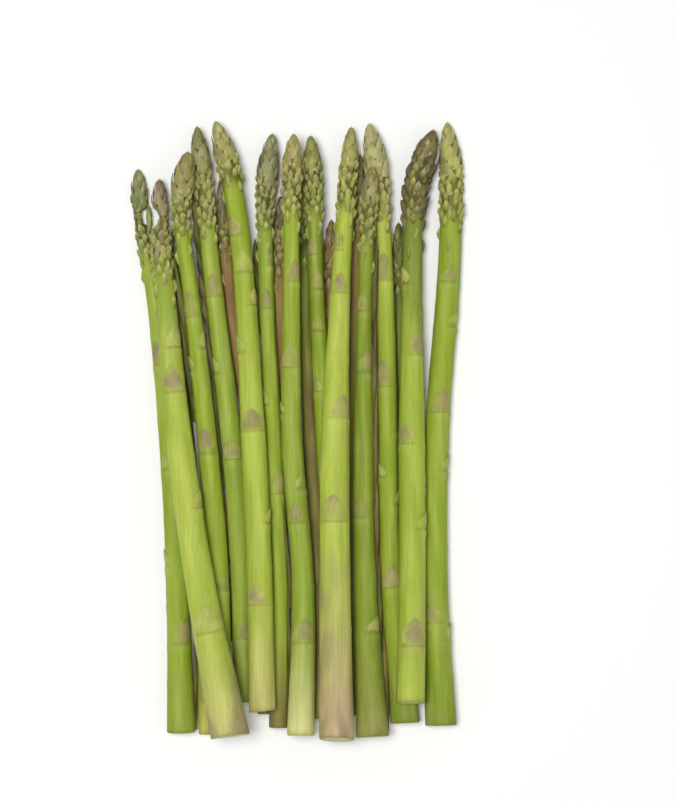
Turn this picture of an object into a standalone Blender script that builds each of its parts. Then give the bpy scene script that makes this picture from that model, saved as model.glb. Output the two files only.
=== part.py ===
"""A loose bundle of green asparagus: twenty spears lying together on a flat surface.

Metres, +Z up. The spears lie along Y with their cut ends at -Y and their tips at +Y, and the
surface they lie on is z = 0. Every spear grew as one piece, so it is one object: a tapering
stem, its spiral of pressed scale leaves, and the pointed head where the scales close over
each other. Run it with: blender --background --python part.py
"""

import math
import typing

import bmesh
import bpy
from mathutils import Vector

MM = 0.001

# How the row positions below are read. Distances are in millimetres.
PATH_STOPS = (0.0, 0.25, 0.5, 0.75, 0.9, 1.0)
BUNDLE_MIDDLE = (0.1, 115.2)

# Build quality.
STEM_SIDES = 10
STEM_RINGS = (0.0, 0.14, 0.3, 0.5, 0.7, 0.85, 1.0)
HEAD_RINGS = (0.0, 0.35, 0.65, 0.88)

# How the spears rest on the surface and on each other. The bends are those that a spear can take.
SETTLE_STEP = 3.0
BALANCE_POINT = 0.43
BENDS = (-0.0003, -0.0002, -0.0001, 0.0, 0.0001, 0.0002, 0.0003, 0.0004, 0.0005)
SPEAR_GAP = 0.35
SCALE_ALLOWANCE = 0.35
REST_FLAT = 0.45

# The pressed scale leaves, as numbers over the head, round the neck and down the stem.
SEEN = (9, 4, 5)
HIDDEN = (7, 3, 3)
SHORT = (5, 2, 2)
GOLDEN_TURN = math.radians(137.5)
HEAD_CORE = 0.74
HEAD_FULL = 0.65
TIP_RADIUS = 0.45

# A scale's outline: shares of its length and width, and how far its foot and keel are sunk.
FOOT_SHARE = 0.7
BELLY_AT = 0.5
SHOULDER_AT = 0.72
SUNK = 0.3
KEEL = 0.6


class Spear(typing.NamedTuple):
    """One spear: y of its two ends, x of its centre line at each path stop, its radii and its head."""

    name: str
    base_y: float
    tip_y: float
    x: tuple
    girth: tuple  # radius at the cut end, in the middle and at the neck
    head: tuple  # radius and length of the closed head
    turn: float  # degrees that the spiral of scales is turned by
    scales: tuple  # numbers over the head, round the neck and down the stem
    colour: str = "green"


# In the order in which they lie on each other, the lowest first.
SPEARS = (
    Spear("spear_under_1", 0.9, 192.0, (-33.8, -35.2, -39.6, -43.8, -44.8, -45.4),
          (2.7, 2.8, 2.4), (3.0, 22), 40, HIDDEN),
    Spear("spear_under_2", 8.5, 209.5, (-11.9, -13.2, -16.4, -24.0, -27.2, -28.0),
          (2.7, 2.9, 2.6), (3.2, 24), 110, HIDDEN, "mauve"),
    Spear("spear_under_3", 9.5, 203.0, (2.0, 1.2, -1.8, -5.6, -6.2, -5.8),
          (2.8, 2.8, 2.4), (3.0, 24), 25, HIDDEN, "mauve"),
    Spear("spear_under_4", 7.0, 212.0, (8.4, 7.8, 5.6, 3.4, 3.2, 3.4),
          (2.9, 2.9, 2.5), (3.2, 24), 200, HIDDEN),
    Spear("spear_under_5", 8.0, 218.5, (20.6, 20.8, 20.6, 22.2, 22.8, 23.8),
          (3.1, 3.0, 2.6), (3.2, 24), 290, HIDDEN, "purple"),
    Spear("spear_under_6", 95.0, 194.0, (13.4, 13.0, 12.8, 12.8, 12.9, 13.1),
          (2.5, 2.6, 2.3), (2.8, 20), 65, SHORT, "mauve"),
    Spear("spear_under_7", 42.0, 193.0, (44.2, 41.6, 40.4, 39.2, 38.6, 38.3),
          (2.1, 2.3, 2.1), (2.6, 20), 155, SHORT),
    Spear("spear_01", 2.0, 213.0, (-43.0, -44.4, -47.3, -52.9, -58.0, -59.4),
          (5.2, 3.9, 2.4), (3.4, 17), 15, SEEN),
    Spear("spear_04", 13.0, 228.5, (-19.8, -21.0, -25.1, -31.4, -34.6, -37.0),
          (3.6, 3.9, 3.2), (4.1, 28), 80, SEEN),
    Spear("spear_06", 3.9, 226.0, (-6.5, -6.1, -8.7, -11.2, -11.3, -8.9),
          (3.5, 3.4, 2.7), (4.4, 27), 150, SEEN, "grey"),
    Spear("spear_08", 6.5, 225.0, (15.2, 14.4, 10.6, 7.6, 6.6, 5.4),
          (3.6, 3.5, 2.6), (4.2, 30), 260, SEEN),
    Spear("spear_11", 5.3, 229.8, (40.8, 35.3, 34.2, 32.9, 30.8, 27.3),
          (5.5, 3.7, 3.2), (4.8, 29), 330, SEEN),
    Spear("spear_13", 4.3, 230.5, (54.1, 51.8, 52.8, 57.1, 58.1, 56.5),
          (5.9, 4.5, 4.2), (4.9, 36), 60, SEEN),
    Spear("spear_03", 9.5, 218.5, (-27.4, -28.8, -33.4, -39.2, -42.8, -39.9),
          (3.5, 3.9, 2.9), (4.5, 20), 130, SEEN),
    Spear("spear_07", 1.5, 225.0, (1.9, 2.6, -1.5, -1.7, -1.6, -0.7),
          (5.2, 4.0, 3.0), (4.4, 26), 210, SEEN),
    Spear("spear_10", 0.5, 213.0, (28.5, 25.7, 24.9, 25.3, 26.6, 28.3),
          (6.2, 3.9, 2.6), (4.0, 23), 280, SEEN),
    Spear("spear_02", 2.0, 209.0, (-23.7, -34.2, -42.4, -47.9, -50.4, -51.1),
          (7.3, 5.3, 3.9), (3.3, 15), 95, SEEN),
    Spear("spear_05", 10.5, 230.5, (-12.3, -13.6, -16.2, -19.7, -24.0, -30.1),
          (5.0, 4.8, 3.7), (5.0, 32), 20, SEEN),
    Spear("spear_09", 0.0, 228.5, (15.1, 14.5, 14.5, 16.7, 19.2, 20.6),
          (6.4, 5.4, 3.3), (3.9, 33), 90, SEEN),
    Spear("spear_12", 14.0, 227.5, (42.4, 43.2, 43.2, 43.3, 44.8, 51.5),
          (5.5, 5.0, 3.7), (5.8, 32), 170, SEEN, "purple"),
)

COLOURS = {
    "green": (0.36, 0.50, 0.12),
    "grey": (0.33, 0.42, 0.17),
    "mauve": (0.42, 0.40, 0.20),
    "purple": (0.30, 0.33, 0.16),
}


def remove_all_objects():
    for existing in list(bpy.data.objects):
        bpy.data.objects.remove(existing)


def through_stops(stops, values, at):
    """The smooth curve through values at stops, read at one place: a cubic with averaged slopes."""
    last = len(stops) - 1
    slopes = []
    for i in range(last + 1):
        before, after = max(i - 1, 0), min(i + 1, last)
        slopes.append((values[after] - values[before]) / (stops[after] - stops[before]))
    i = next(k for k in range(last) if at <= stops[k + 1] or k == last - 1)
    width = stops[i + 1] - stops[i]
    t = (at - stops[i]) / width
    return (
        (2 * t**3 - 3 * t**2 + 1) * values[i]
        + (t**3 - 2 * t**2 + t) * width * slopes[i]
        + (3 * t**2 - 2 * t**3) * values[i + 1]
        + (t**3 - t**2) * width * slopes[i + 1]
    )


def length_of(spear):
    return spear.tip_y - spear.base_y


def centre_x(spear, y):
    share = (y - spear.base_y) / length_of(spear)
    return through_stops(PATH_STOPS, spear.x, min(max(share, 0.0), 1.0))


def stem_radius(spear, below_tip):
    """Radius of the bare stem, this far below the tip: wide at the cut, narrow at the neck."""
    base, middle, neck = spear.girth
    share = 1.0 - below_tip / length_of(spear)
    if share < 0.4:
        return middle + (base - middle) * (1.0 - share / 0.4) ** 1.6
    fall = min((share - 0.4) / 0.42, 1.0)
    return middle + (neck - middle) * fall * fall * (3.0 - 2.0 * fall)


def head_outline(spear, below_tip):
    """Radius of the closed head outside its scales: a long pointed bud that narrows to the neck."""
    radius, length = spear.head
    share = max(below_tip, 0.0) / length
    if share < HEAD_FULL:
        swell = (1.0 - (1.0 - share / HEAD_FULL) ** 2) ** 0.6
        return TIP_RADIUS + (radius - TIP_RADIUS) * swell
    neck = stem_radius(spear, below_tip) + 0.4
    fall = min((share - HEAD_FULL) / (1.7 - HEAD_FULL), 1.0)
    return radius + (neck - radius) * fall * fall * (3.0 - 2.0 * fall)


def head_share(spear, below_tip):
    """1 in the head, falling to 0 down the neck, where the bare stem shows."""
    return min(max((1.7 - below_tip / spear.head[1]) / 0.7, 0.0), 1.0)


def core_radius(spear, below_tip):
    """Radius of the body that the scales grow from."""
    in_head = head_share(spear, below_tip)
    head_core = head_outline(spear, below_tip) * HEAD_CORE
    return head_core * in_head + stem_radius(spear, below_tip) * (1.0 - in_head)


def outer_radius(spear, below_tip):
    """Radius with the scales on, which is what lies against a neighbour."""
    in_head = head_share(spear, below_tip)
    on_stem = stem_radius(spear, below_tip) + SCALE_ALLOWANCE
    return head_outline(spear, below_tip) * in_head + on_stem * (1.0 - in_head)


class Axis:
    """A spear's centre line in place, with the directions beside and above it.

    Its height is a straight line, less a slight bend on both sides of where the spear balances.
    """

    def __init__(self, spear, height, rise, bend):
        self.spear, self.height, self.rise, self.bend = spear, height, rise, bend
        self.balance = spear.base_y + BALANCE_POINT * length_of(spear)

    def z(self, y):
        from_balance = y - self.balance
        return self.height + self.rise * from_balance - self.bend * from_balance**2

    def point(self, below_tip):
        y = self.spear.tip_y - below_tip
        x = centre_x(self.spear, y)
        return Vector((x - BUNDLE_MIDDLE[0], y - BUNDLE_MIDDLE[1], self.z(y))) * MM

    def on_surface(self, below_tip, angle, radius):
        """The point this far below the tip, round the stem by angle, and out by radius."""
        along = (self.point(below_tip - 0.5) - self.point(below_tip + 0.5)).normalized()
        side = along.cross(Vector((0.0, 0.0, 1.0))).normalized()
        above = side.cross(along)
        out = side * math.cos(angle) + above * math.sin(angle)
        return self.point(below_tip) + out * radius * MM


def lowest_height(spear, y, laid):
    """How low the centre line can come at y, over the surface and over the spears already laid."""
    radius = outer_radius(spear, spear.tip_y - y)
    lowest = core_radius(spear, spear.tip_y - y) + SCALE_ALLOWANCE - REST_FLAT
    for other in laid:
        if other.spear.base_y - SETTLE_STEP <= y <= other.spear.tip_y + SETTLE_STEP:
            below_tip = min(max(other.spear.tip_y - y, 0.0), length_of(other.spear))
            reach = radius + outer_radius(other.spear, below_tip) + SPEAR_GAP
            aside = centre_x(spear, y) - centre_x(other.spear, y)
            if abs(aside) < reach:
                lowest = max(lowest, other.z(y) + math.sqrt(reach**2 - aside**2))
    return lowest


def settle(spear, laid):
    """Lays a spear down: it is held at two points, one on each side of where it balances.

    Of the slight bends that a fresh spear can take, it takes the one that brings it down furthest.
    """
    steps = math.ceil(length_of(spear) / SETTLE_STEP)
    ys = [spear.base_y + length_of(spear) * k / steps for k in range(steps + 1)]
    lowest = [lowest_height(spear, y, laid) for y in ys]
    balance = spear.base_y + BALANCE_POINT * length_of(spear)
    choices = []
    for bend in BENDS:
        held = [(y - balance, low + bend * (y - balance) ** 2) for y, low in zip(ys, lowest)]
        height, rise = max(
            (a[1] - a[0] * (b[1] - a[1]) / (b[0] - a[0]), (b[1] - a[1]) / (b[0] - a[0]))
            for a in held
            for b in held
            if a[0] < 0.0 <= b[0]
        )
        axis = Axis(spear, height, rise, bend)
        choices.append((sum(axis.z(y) for y in ys), abs(bend), axis))
    return min(choices, key=lambda choice: choice[:2])[2]


def stem_mesh(axis):
    """The stem and the core of the head: rings of points bridged from the cut end to the tip."""
    spear = axis.spear
    length = length_of(spear)
    head_start = spear.head[1] * 1.15
    below = [length - (length - head_start) * share for share in STEM_RINGS]
    below += [head_start * (1.0 - share) for share in HEAD_RINGS[1:]]
    body = bmesh.new()
    rings = []
    for below_tip in below:
        radius = core_radius(spear, below_tip)
        ring = []
        for k in range(STEM_SIDES):
            angle = 2.0 * math.pi * (k + 0.5) / STEM_SIDES
            ring.append(body.verts.new(axis.on_surface(below_tip, angle, radius)))
        rings.append(ring)
    for low, high in zip(rings, rings[1:]):
        for k in range(STEM_SIDES):
            j = (k + 1) % STEM_SIDES
            body.faces.new((low[k], low[j], high[j], high[k]))
    body.faces.new(rings[0])
    point = body.verts.new(axis.point(0.0))
    for k in range(STEM_SIDES):
        body.faces.new((rings[-1][k], rings[-1][(k + 1) % STEM_SIDES], point))
    bmesh.ops.recalc_face_normals(body, faces=body.faces)
    mesh = bpy.data.meshes.new(spear.name)
    body.to_mesh(mesh)
    body.free()
    return mesh


class Scale(typing.NamedTuple):
    """A scale leaf: where its tip and its foot are, how wide it wraps, and how far it stands out."""

    tip: float
    foot: float
    angle: float
    half_width: float
    belly: float
    edge: float
    point: float


def scales_of(spear):
    """Every scale of a spear, in one spiral: packed over the head, spreading out down the stem."""
    radius, head = spear.head
    on_head, on_neck, on_stem = spear.scales
    neck_end = head * 1.9
    made = []
    for k in range(on_head):
        share = k / on_head
        tip = head * share**1.15
        stand = head_outline(spear, tip + 4.0) * (1.0 - HEAD_CORE)
        made.append((tip, 7.0 + 3.5 * share, 68.0 - 14.0 * share, stand, stand * 0.4, stand * 0.75))
    for k in range(on_neck):
        share = (k + 0.5) / on_neck
        tip = head + (neck_end - head) * share
        made.append((tip, 8.5, 50.0 - 6.0 * share, 1.5 - 0.5 * share, 0.1, 0.8 - 0.3 * share))
    room = length_of(spear) - 16.0 - neck_end
    for k in range(on_stem):
        share = k / (on_stem - 1)
        tip = neck_end + room * (0.12 * share + 0.88 * share**1.2)
        made.append((tip, 10.5, 42.0, 0.75, -0.1, 0.3))
    first_angle = math.radians(spear.turn)
    return [
        Scale(tip, tip + long, first_angle + GOLDEN_TURN * k, math.radians(wide), belly, edge, point)
        for k, (tip, long, wide, belly, edge, point) in enumerate(made)
    ]


def scale_mesh(axis, scale, name):
    """A pointed shield wrapped round the stem: sunk at its foot and free at its point."""
    spear = axis.spear
    body = bmesh.new()

    def add(along, swing, stand):
        below_tip = scale.foot + (scale.tip - scale.foot) * along
        radius = core_radius(spear, below_tip)
        radius = radius * KEEL if stand is None else radius + stand
        body.verts.new(axis.on_surface(below_tip, scale.angle + swing * scale.half_width, radius))

    for side in (-1.0, 1.0):
        add(0.0, side * FOOT_SHARE, -SUNK)
        add(BELLY_AT, side, scale.edge)
    add(BELLY_AT * 0.7, 0.0, scale.belly)
    add(SHOULDER_AT, 0.0, scale.belly * 0.9)
    add(1.0, 0.0, scale.point)
    add(0.1, 0.0, None)
    add(SHOULDER_AT, 0.0, None)
    bmesh.ops.convex_hull(body, input=body.verts)
    loose = [v for v in body.verts if not v.link_faces]
    bmesh.ops.delete(body, geom=loose, context="VERTS")
    bmesh.ops.recalc_face_normals(body, faces=body.faces)
    mesh = bpy.data.meshes.new(name)
    body.to_mesh(mesh)
    body.free()
    return mesh


def fuse_scales(stem, collection):
    """One Boolean union joins the scales to the stem that they grow from."""
    union = stem.modifiers.new("scales", "BOOLEAN")
    union.operation = "UNION"
    union.operand_type = "COLLECTION"
    union.collection = collection
    union.solver = "EXACT"
    graph = bpy.context.evaluated_depsgraph_get()
    fused = bpy.data.meshes.new_from_object(stem.evaluated_get(graph))
    stem.modifiers.clear()
    stem.data = fused
    for scale in list(collection.objects):
        bpy.data.objects.remove(scale)
    bpy.data.collections.remove(collection)


def press_flat(mesh):
    """Where the spear lies on the surface its underside is a little flat, at z = 0."""
    body = bmesh.new()
    body.from_mesh(mesh)
    whole = list(body.verts) + list(body.edges) + list(body.faces)
    cut = bmesh.ops.bisect_plane(
        body, geom=whole, dist=1e-7, plane_co=(0, 0, 0), plane_no=(0, 0, 1), clear_inner=True
    )
    rim = [edge for edge in cut["geom_cut"] if isinstance(edge, bmesh.types.BMEdge)]
    bmesh.ops.holes_fill(body, edges=rim, sides=0)
    bmesh.ops.recalc_face_normals(body, faces=body.faces)
    body.to_mesh(mesh)
    body.free()


def material_of(colour):
    name = "asparagus_" + colour
    found = bpy.data.materials.get(name)
    if found:
        return found
    made = bpy.data.materials.new(name)
    made.use_nodes = True
    shader = made.node_tree.nodes["Principled BSDF"]
    shader.inputs["Base Color"].default_value = (*COLOURS[colour], 1.0)
    shader.inputs["Roughness"].default_value = 0.45
    shader.inputs["Metallic"].default_value = 0.0
    return made


def make_spear(axis):
    spear = axis.spear
    stem = bpy.data.objects.new(spear.name, stem_mesh(axis))
    bpy.context.scene.collection.objects.link(stem)
    collection = bpy.data.collections.new(spear.name + "_scales")
    bpy.context.scene.collection.children.link(collection)
    for k, scale in enumerate(scales_of(spear)):
        name = f"{spear.name}_scale_{k}"
        collection.objects.link(bpy.data.objects.new(name, scale_mesh(axis, scale, name)))
    fuse_scales(stem, collection)
    press_flat(stem.data)
    stem.data.materials.clear()
    stem.data.materials.append(material_of(spear.colour))
    stem.data.shade_smooth()
    stem.data.set_sharp_from_angle(angle=math.radians(35.0))


def main():
    remove_all_objects()
    laid = []
    for spear in SPEARS:
        laid.append(settle(spear, laid))
        make_spear(laid[-1])


main()
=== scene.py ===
import math
import random
from typing import NamedTuple

import bpy
import numpy as np
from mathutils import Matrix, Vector, noise
from mathutils.bvhtree import BVHTree


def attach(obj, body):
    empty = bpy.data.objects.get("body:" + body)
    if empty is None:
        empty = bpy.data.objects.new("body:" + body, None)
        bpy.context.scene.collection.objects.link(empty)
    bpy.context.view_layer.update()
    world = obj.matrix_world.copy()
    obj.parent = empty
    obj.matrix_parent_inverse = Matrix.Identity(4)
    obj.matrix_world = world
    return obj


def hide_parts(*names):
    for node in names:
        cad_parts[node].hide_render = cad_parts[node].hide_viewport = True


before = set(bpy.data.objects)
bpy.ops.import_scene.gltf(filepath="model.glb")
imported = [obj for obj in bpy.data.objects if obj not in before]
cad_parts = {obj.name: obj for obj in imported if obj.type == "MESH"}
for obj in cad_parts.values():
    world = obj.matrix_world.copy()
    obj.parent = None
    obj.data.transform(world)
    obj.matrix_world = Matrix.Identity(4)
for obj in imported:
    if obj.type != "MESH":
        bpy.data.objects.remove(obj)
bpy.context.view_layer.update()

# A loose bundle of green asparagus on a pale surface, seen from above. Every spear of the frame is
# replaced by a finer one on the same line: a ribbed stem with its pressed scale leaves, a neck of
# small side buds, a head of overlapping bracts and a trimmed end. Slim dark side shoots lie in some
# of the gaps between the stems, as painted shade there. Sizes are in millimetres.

MM = 0.001
BODY = "root"
BUNDLE_MIDDLE = (0.1, 115.2)  # the frame's middle in the spears' table
PATH_STOPS = (0.0, 0.25, 0.5, 0.75, 0.9, 1.0)  # shares of its length at which a spear's x is given
FULL_TURN = 2.0 * math.pi
GOLDEN_TURN = math.radians(137.5)

# The camera looks straight down at the middle of the photograph's frame.
VIEW_MIDDLE = (15.15, 11.1)
VIEW_HEIGHT = 298.0  # what the picture spans from its lower edge to its upper one
VIEW_LEVEL = 10.0  # how high above the surface it spans that
LENS = 110.0
SENSOR = 36.0
CLIP_END = 50.0  # metres

# The studio, in metres.
FLOOR_REACH = 6.0
FLOOR_COLOUR = (0.9, 0.9, 0.89, 1.0)
FLOOR_ROUGHNESS = 0.7
WHITE = (1.0, 1.0, 1.0)
WORLD_STRENGTH = 0.35

# How fine the meshes are.
STEM_SIDES = 32
RING_STEP = 1.5
FIRST_RING = 0.35  # above the cut end
LAST_RING = 0.5  # below the tip
LEAF_RINGS = (1.0, 0.45, -0.1)  # further rings of the stem, below the foot of each leaf
LEAF_CELLS = (10, 9)  # across and along a leaf of the stem
BRACT_CELLS = (6, 7)  # the same for a bract of the head
SMALL_CELLS = (4, 5)  # the same for a bract of the neck
BUD_SIDES = 7
BUD_RINGS = 6
SHARP_ANGLE = math.radians(50.0)
LOWEST = 0.02  # the least height of a point over the surface

# The girth of a stem, by shares of its length.
FOOT_SHARE = 0.4  # the wide foot narrows up to here
FOOT_CURVE = 1.6
NECK_SHARE = 0.42  # and the neck narrows over this much more
SLIM_CURVE = 0.7
STEM_RISE = 0.9  # how far the leaves reach over the bare stem

# The skin of a stem.
RIBS = ((9.0, 0.045, 1.0), (14.0, 0.03, 2.0))  # how many, how high, how much the seed turns them
LUMP_HEIGHT = 0.22
OVAL = 0.02
CALM_HEAD = 0.6  # how much less ribs and lumps show on the head's core

# The leaves of a stem.
BARE_NECK = 12.0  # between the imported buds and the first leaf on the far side
BARE_FOOT = 6.0
LEAF_GAP = 16.0  # a longer stretch without a leaf has one on the far side
LEAF_WIDEST = 0.2  # share of a leaf's length
LEAF_FOOT = 0.85  # shares of its half width
LEAF_POINT = 0.03

# What a leaf does to the stem round its foot. Turns are in radians.
MARKS_END = 3.0  # spreads beyond which nothing of it is left
SWELL_BELOW = 1.6
SWELL_SPREAD = 1.7
SWELL_ROUND = 0.10
SWELL_UNDER = 0.22
SWELL_TURN = 0.9
FLUSH_TURN = 1.0
CREASE_BELOW = 0.25
CREASE_BOW = 0.2
CREASE_SPREAD = 0.45
CREASE_DEPTH = 0.12

# The trimmed end.
CUT_BEVEL = 0.3
SLANT_REACH = 9.0  # how far up the stem the slant of the cut is felt
CUT_RINGS = (0.93, 0.8, 0.6, 0.38, 0.18)  # shares of the way out from the middle to the rim
CUT_HOLLOW = 0.25
CUT_ROUGHNESS = 0.16
CUT_MIDDLE = 0.3

# How much of another colour comes into the stem's own, and how much painted shade darkens its creases.
PALE_BLOTCHES = 0.28
PALE_OVER_LEAF = 0.15
GREEN_PATCHES = 0.5
PAINTED_CREASE_SHADE = 0.35
BROWN_CUT = 0.55
BLOTCH_CONTRAST = 0.12

# The outline of a head.
HEAD_CORE = 0.74  # radius of the core beside that over the bracts
TIP_CORE = 0.93  # the same at the tip
TIP_REACH = 9.0  # how far below the tip the first holds in full
HEAD_FULL = 0.65  # share of the head's length at which it is widest
HEAD_END = 1.7  # the same at which it has narrowed to the neck
TIP_RADIUS = 0.3
TIP_BLUNT = 0.65
NECK_RISE = 0.4  # how far the buds reach over the bare neck
NECK_FADE = 4.0  # how far below its packed buds the neck's core ends

# The bracts of a closed head: two values are those at its point and at its foot.
BRACT_STEP = 0.55
BRACT_LENGTH = (4.6, 6.6)
BRACT_NARROWEST = 1.1
BRACT_WIDEST = 0.6  # share of the head's radius
BRACT_EDGE = (0.1, 0.25)
BRACT_THICK = (0.14, 0.26)
TIP_SHADE = 0.93  # how light the closed tip is beside the spear's own colours

# The side buds of a neck.
BUD_STEP = 0.52  # between the feet of two packed buds on a neck of ordinary girth
USUAL_NECK = 3.9
BUDS_APART = 2.8  # between the feet of two buds that are no longer packed
LAST_BUDS = 10.0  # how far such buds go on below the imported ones
BUD_LENGTH = (3.6, 4.6)  # of the first and the last
BUD_GIRTH = (1.35, 0.8)  # of packed and of other buds
BUD_RIDGE = 0.14
BUD_SHADE = 1.08  # the same as the tip's, for the buds
SMALL_BRACTS = 0.55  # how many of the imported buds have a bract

# Side shoots, dark things that stand in for the shade in the gaps between stems, and the strand beside a
# slim stretch.
SHOOT_STEP = 0.72  # share of its length between a shoot's foot and the next one's
# how dark the shoots are painted, as shade in the gaps
PAINTED_SHOOT_SHADE = 0.7
STRAND_SLIMNESS = 0.5  # girth lost in such a stretch
STRAND_OVERLAP = 3.0
STRAND_GIRTH = 1.2
STRAND_STAND = (1.4, 1.8)
STRAND_BOW = 2.8


def seen(red, green, blue):
    """A colour as it is seen on a screen, turned into the shader's linear numbers."""
    linear = []
    for value in (red, green, blue):
        value /= 255.0
        linear.append(value / 12.92 if value <= 0.04045 else ((value + 0.055) / 1.055) ** 2.4)
    return np.array(linear)


COLOURS = {
    "lime": seen(166, 183, 66),
    "fresh_green": seen(154, 174, 54),
    "leaf_green": seen(138, 160, 38),
    "deep_green": seen(118, 140, 28),
    "dark_green": seen(102, 122, 32),
    "soft_green": seen(142, 163, 54),
    "yellow_green": seen(176, 178, 76),
    "grey_green": seen(128, 138, 84),
    "ash_green": seen(124, 124, 96),
    "dull_green": seen(132, 136, 64),
    "moss": seen(76, 92, 20),
    "olive": seen(118, 128, 44),
    "grey_olive": seen(132, 130, 84),
    "brown_olive": seen(108, 92, 44),
    "cream": seen(208, 208, 140),
    "ivory": seen(216, 210, 160),
    "papery": seen(202, 196, 130),
    "straw": seen(188, 182, 112),
    "pale_yellow": seen(184, 182, 120),
    "dull_yellow": seen(162, 160, 88),
    "yellow_tan": seen(168, 166, 94),
    "pale_tan": seen(180, 174, 108),
    "tan": seen(158, 148, 88),
    "dull_tan": seen(140, 134, 80),
    "pink_beige": seen(188, 161, 128),
    "pale_ash": seen(182, 176, 142),
    "pale_mauve": seen(160, 152, 118),
    "mauve": seen(141, 121, 99),
    "dark_mauve": seen(96, 88, 62),
    "red_brown": seen(134, 94, 62),
    "purple_brown": seen(96, 80, 60),
    "dark_purple": seen(70, 58, 48),
    # near black: painted shade in the pits between bracts and buds, and at their feet
    "painted_pit_shade": seen(40, 40, 10),
}


class Spear(NamedTuple):
    """The line and the girth of one spear, the same as those of its solid."""

    base_y: float
    tip_y: float
    x: tuple
    girth: tuple  # radius at the cut end, in the middle and at the neck
    head: tuple  # radius and length of the closed head
    turn: float  # degrees that the spiral of bracts is turned by


SPEARS = {
    "spear_under_1": Spear(
        0.9, 192.0, (-33.8, -35.2, -39.6, -43.8, -44.8, -45.4), (2.7, 2.8, 2.4), (3.0, 22), 40),
    "spear_under_2": Spear(
        8.5, 209.5, (-11.9, -13.2, -16.4, -24.0, -27.2, -28.0), (2.7, 2.9, 2.6), (3.2, 24), 110),
    "spear_under_3": Spear(
        9.5, 203.0, (2.0, 1.2, -1.8, -5.6, -6.2, -5.8), (2.8, 2.8, 2.4), (3.0, 24), 25),
    "spear_under_4": Spear(
        7.0, 212.0, (8.4, 7.8, 5.6, 3.4, 3.2, 3.4), (2.9, 2.9, 2.5), (3.2, 24), 200),
    "spear_under_5": Spear(
        8.0, 218.5, (20.6, 20.8, 20.6, 22.2, 22.8, 23.8), (3.1, 3.0, 2.6), (3.2, 24), 290),
    "spear_under_6": Spear(
        95.0, 194.0, (13.4, 13.0, 12.8, 12.8, 12.9, 13.1), (2.5, 2.6, 2.3), (2.8, 20), 65),
    "spear_under_7": Spear(
        42.0, 193.0, (44.2, 41.6, 40.4, 39.2, 38.6, 38.3), (2.1, 2.3, 2.1), (2.6, 20), 155),
    "spear_01": Spear(
        2.0, 213.0, (-43.0, -44.4, -47.3, -52.9, -58.0, -59.4), (5.2, 3.9, 2.4), (3.4, 17), 15),
    "spear_04": Spear(
        13.0, 228.5, (-19.8, -21.0, -25.1, -31.4, -34.6, -37.0), (3.6, 3.9, 3.2), (4.1, 28), 80),
    "spear_06": Spear(
        3.9, 226.0, (-6.5, -6.1, -8.7, -11.2, -11.3, -8.9), (3.5, 3.4, 2.7), (4.4, 27), 150),
    "spear_08": Spear(
        6.5, 225.0, (15.2, 14.4, 10.6, 7.6, 6.6, 5.4), (3.6, 3.5, 2.6), (4.2, 30), 260),
    "spear_11": Spear(
        5.3, 229.8, (40.8, 35.3, 34.2, 32.9, 30.8, 27.3), (5.5, 3.7, 3.2), (4.8, 29), 330),
    "spear_13": Spear(
        4.3, 230.5, (54.1, 51.8, 52.8, 57.1, 58.1, 56.5), (5.9, 4.5, 4.2), (4.9, 36), 60),
    "spear_03": Spear(
        9.5, 218.5, (-27.4, -28.8, -33.4, -39.2, -42.8, -39.9), (3.5, 3.9, 2.9), (4.5, 20), 130),
    "spear_07": Spear(
        1.5, 225.0, (1.9, 2.6, -1.5, -1.7, -1.6, -0.7), (5.2, 4.0, 3.0), (4.4, 26), 210),
    "spear_10": Spear(
        0.5, 213.0, (28.5, 25.7, 24.9, 25.3, 26.6, 28.3), (6.2, 3.9, 2.6), (4.0, 23), 280),
    "spear_02": Spear(
        2.0, 209.0, (-23.7, -34.2, -42.4, -47.9, -50.4, -51.1), (7.3, 5.3, 3.9), (3.3, 15), 95),
    "spear_05": Spear(
        10.5, 230.5, (-12.3, -13.6, -16.2, -19.7, -24.0, -30.1), (5.0, 4.8, 3.7), (5.0, 32), 20),
    "spear_09": Spear(
        0.0, 228.5, (15.1, 14.5, 14.5, 16.7, 19.2, 20.6), (6.4, 5.4, 3.3), (3.9, 33), 90),
    "spear_12": Spear(
        14.0, 227.5, (42.4, 43.2, 43.2, 43.3, 44.8, 51.5), (5.5, 5.0, 3.7), (5.8, 32), 170),
}


class Look(NamedTuple):
    """What is seen on one spear: its slot, the colours of its parts, and what grows on it."""

    slot: str
    foot: str
    stem: str
    neck: str
    head: str
    tip: str
    buds: tuple = (12.0, 32.0)  # where the side buds begin and stop being packed, below the tip
    slant: tuple = (0.0, 0.1)  # rise of the cut end across the bundle, and towards the camera
    slim: tuple = (0.0, 0.0, 0.0, 0.0)  # a slim stretch: from, to, shift to the side, girth lost
    leaves: tuple = ()  # (y of the foot, degrees round the stem from +X upwards, length)
    loose: tuple = ()  # bracts that stand out: (foot below the tip, degrees round, length, how far)
    shoots: tuple = ()  # rows of dark side shoots, shade in the gaps: (first and last foot, degrees round, girth, length)
    reach: float = 0.2  # how far up the stem, as a share of it, the foot's colour is felt
    blush: float = 0.15  # how much mauve comes into the skin near the cut end
    turns: float = 0.1  # share of the neck where the head's colour starts to turn into the neck's
    mottle: float = 0.32  # how much lighter and darker the bracts and buds are than each other
    pale: float = 1.0  # how pale the points of its buds and bracts are
    sides: float = 0.15  # how much painted shade, in dark purple, falls on the head's two sides as seen from above


GREEN, GREY = "green_spear", "grey_green_spear"
MAUVE, PURPLE = "mauve_green_spear", "purple_green_spear"
BROWN_LOOK = Look(MAUVE, "brown_olive", "red_brown", "red_brown", "dark_mauve", "mauve")

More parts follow.
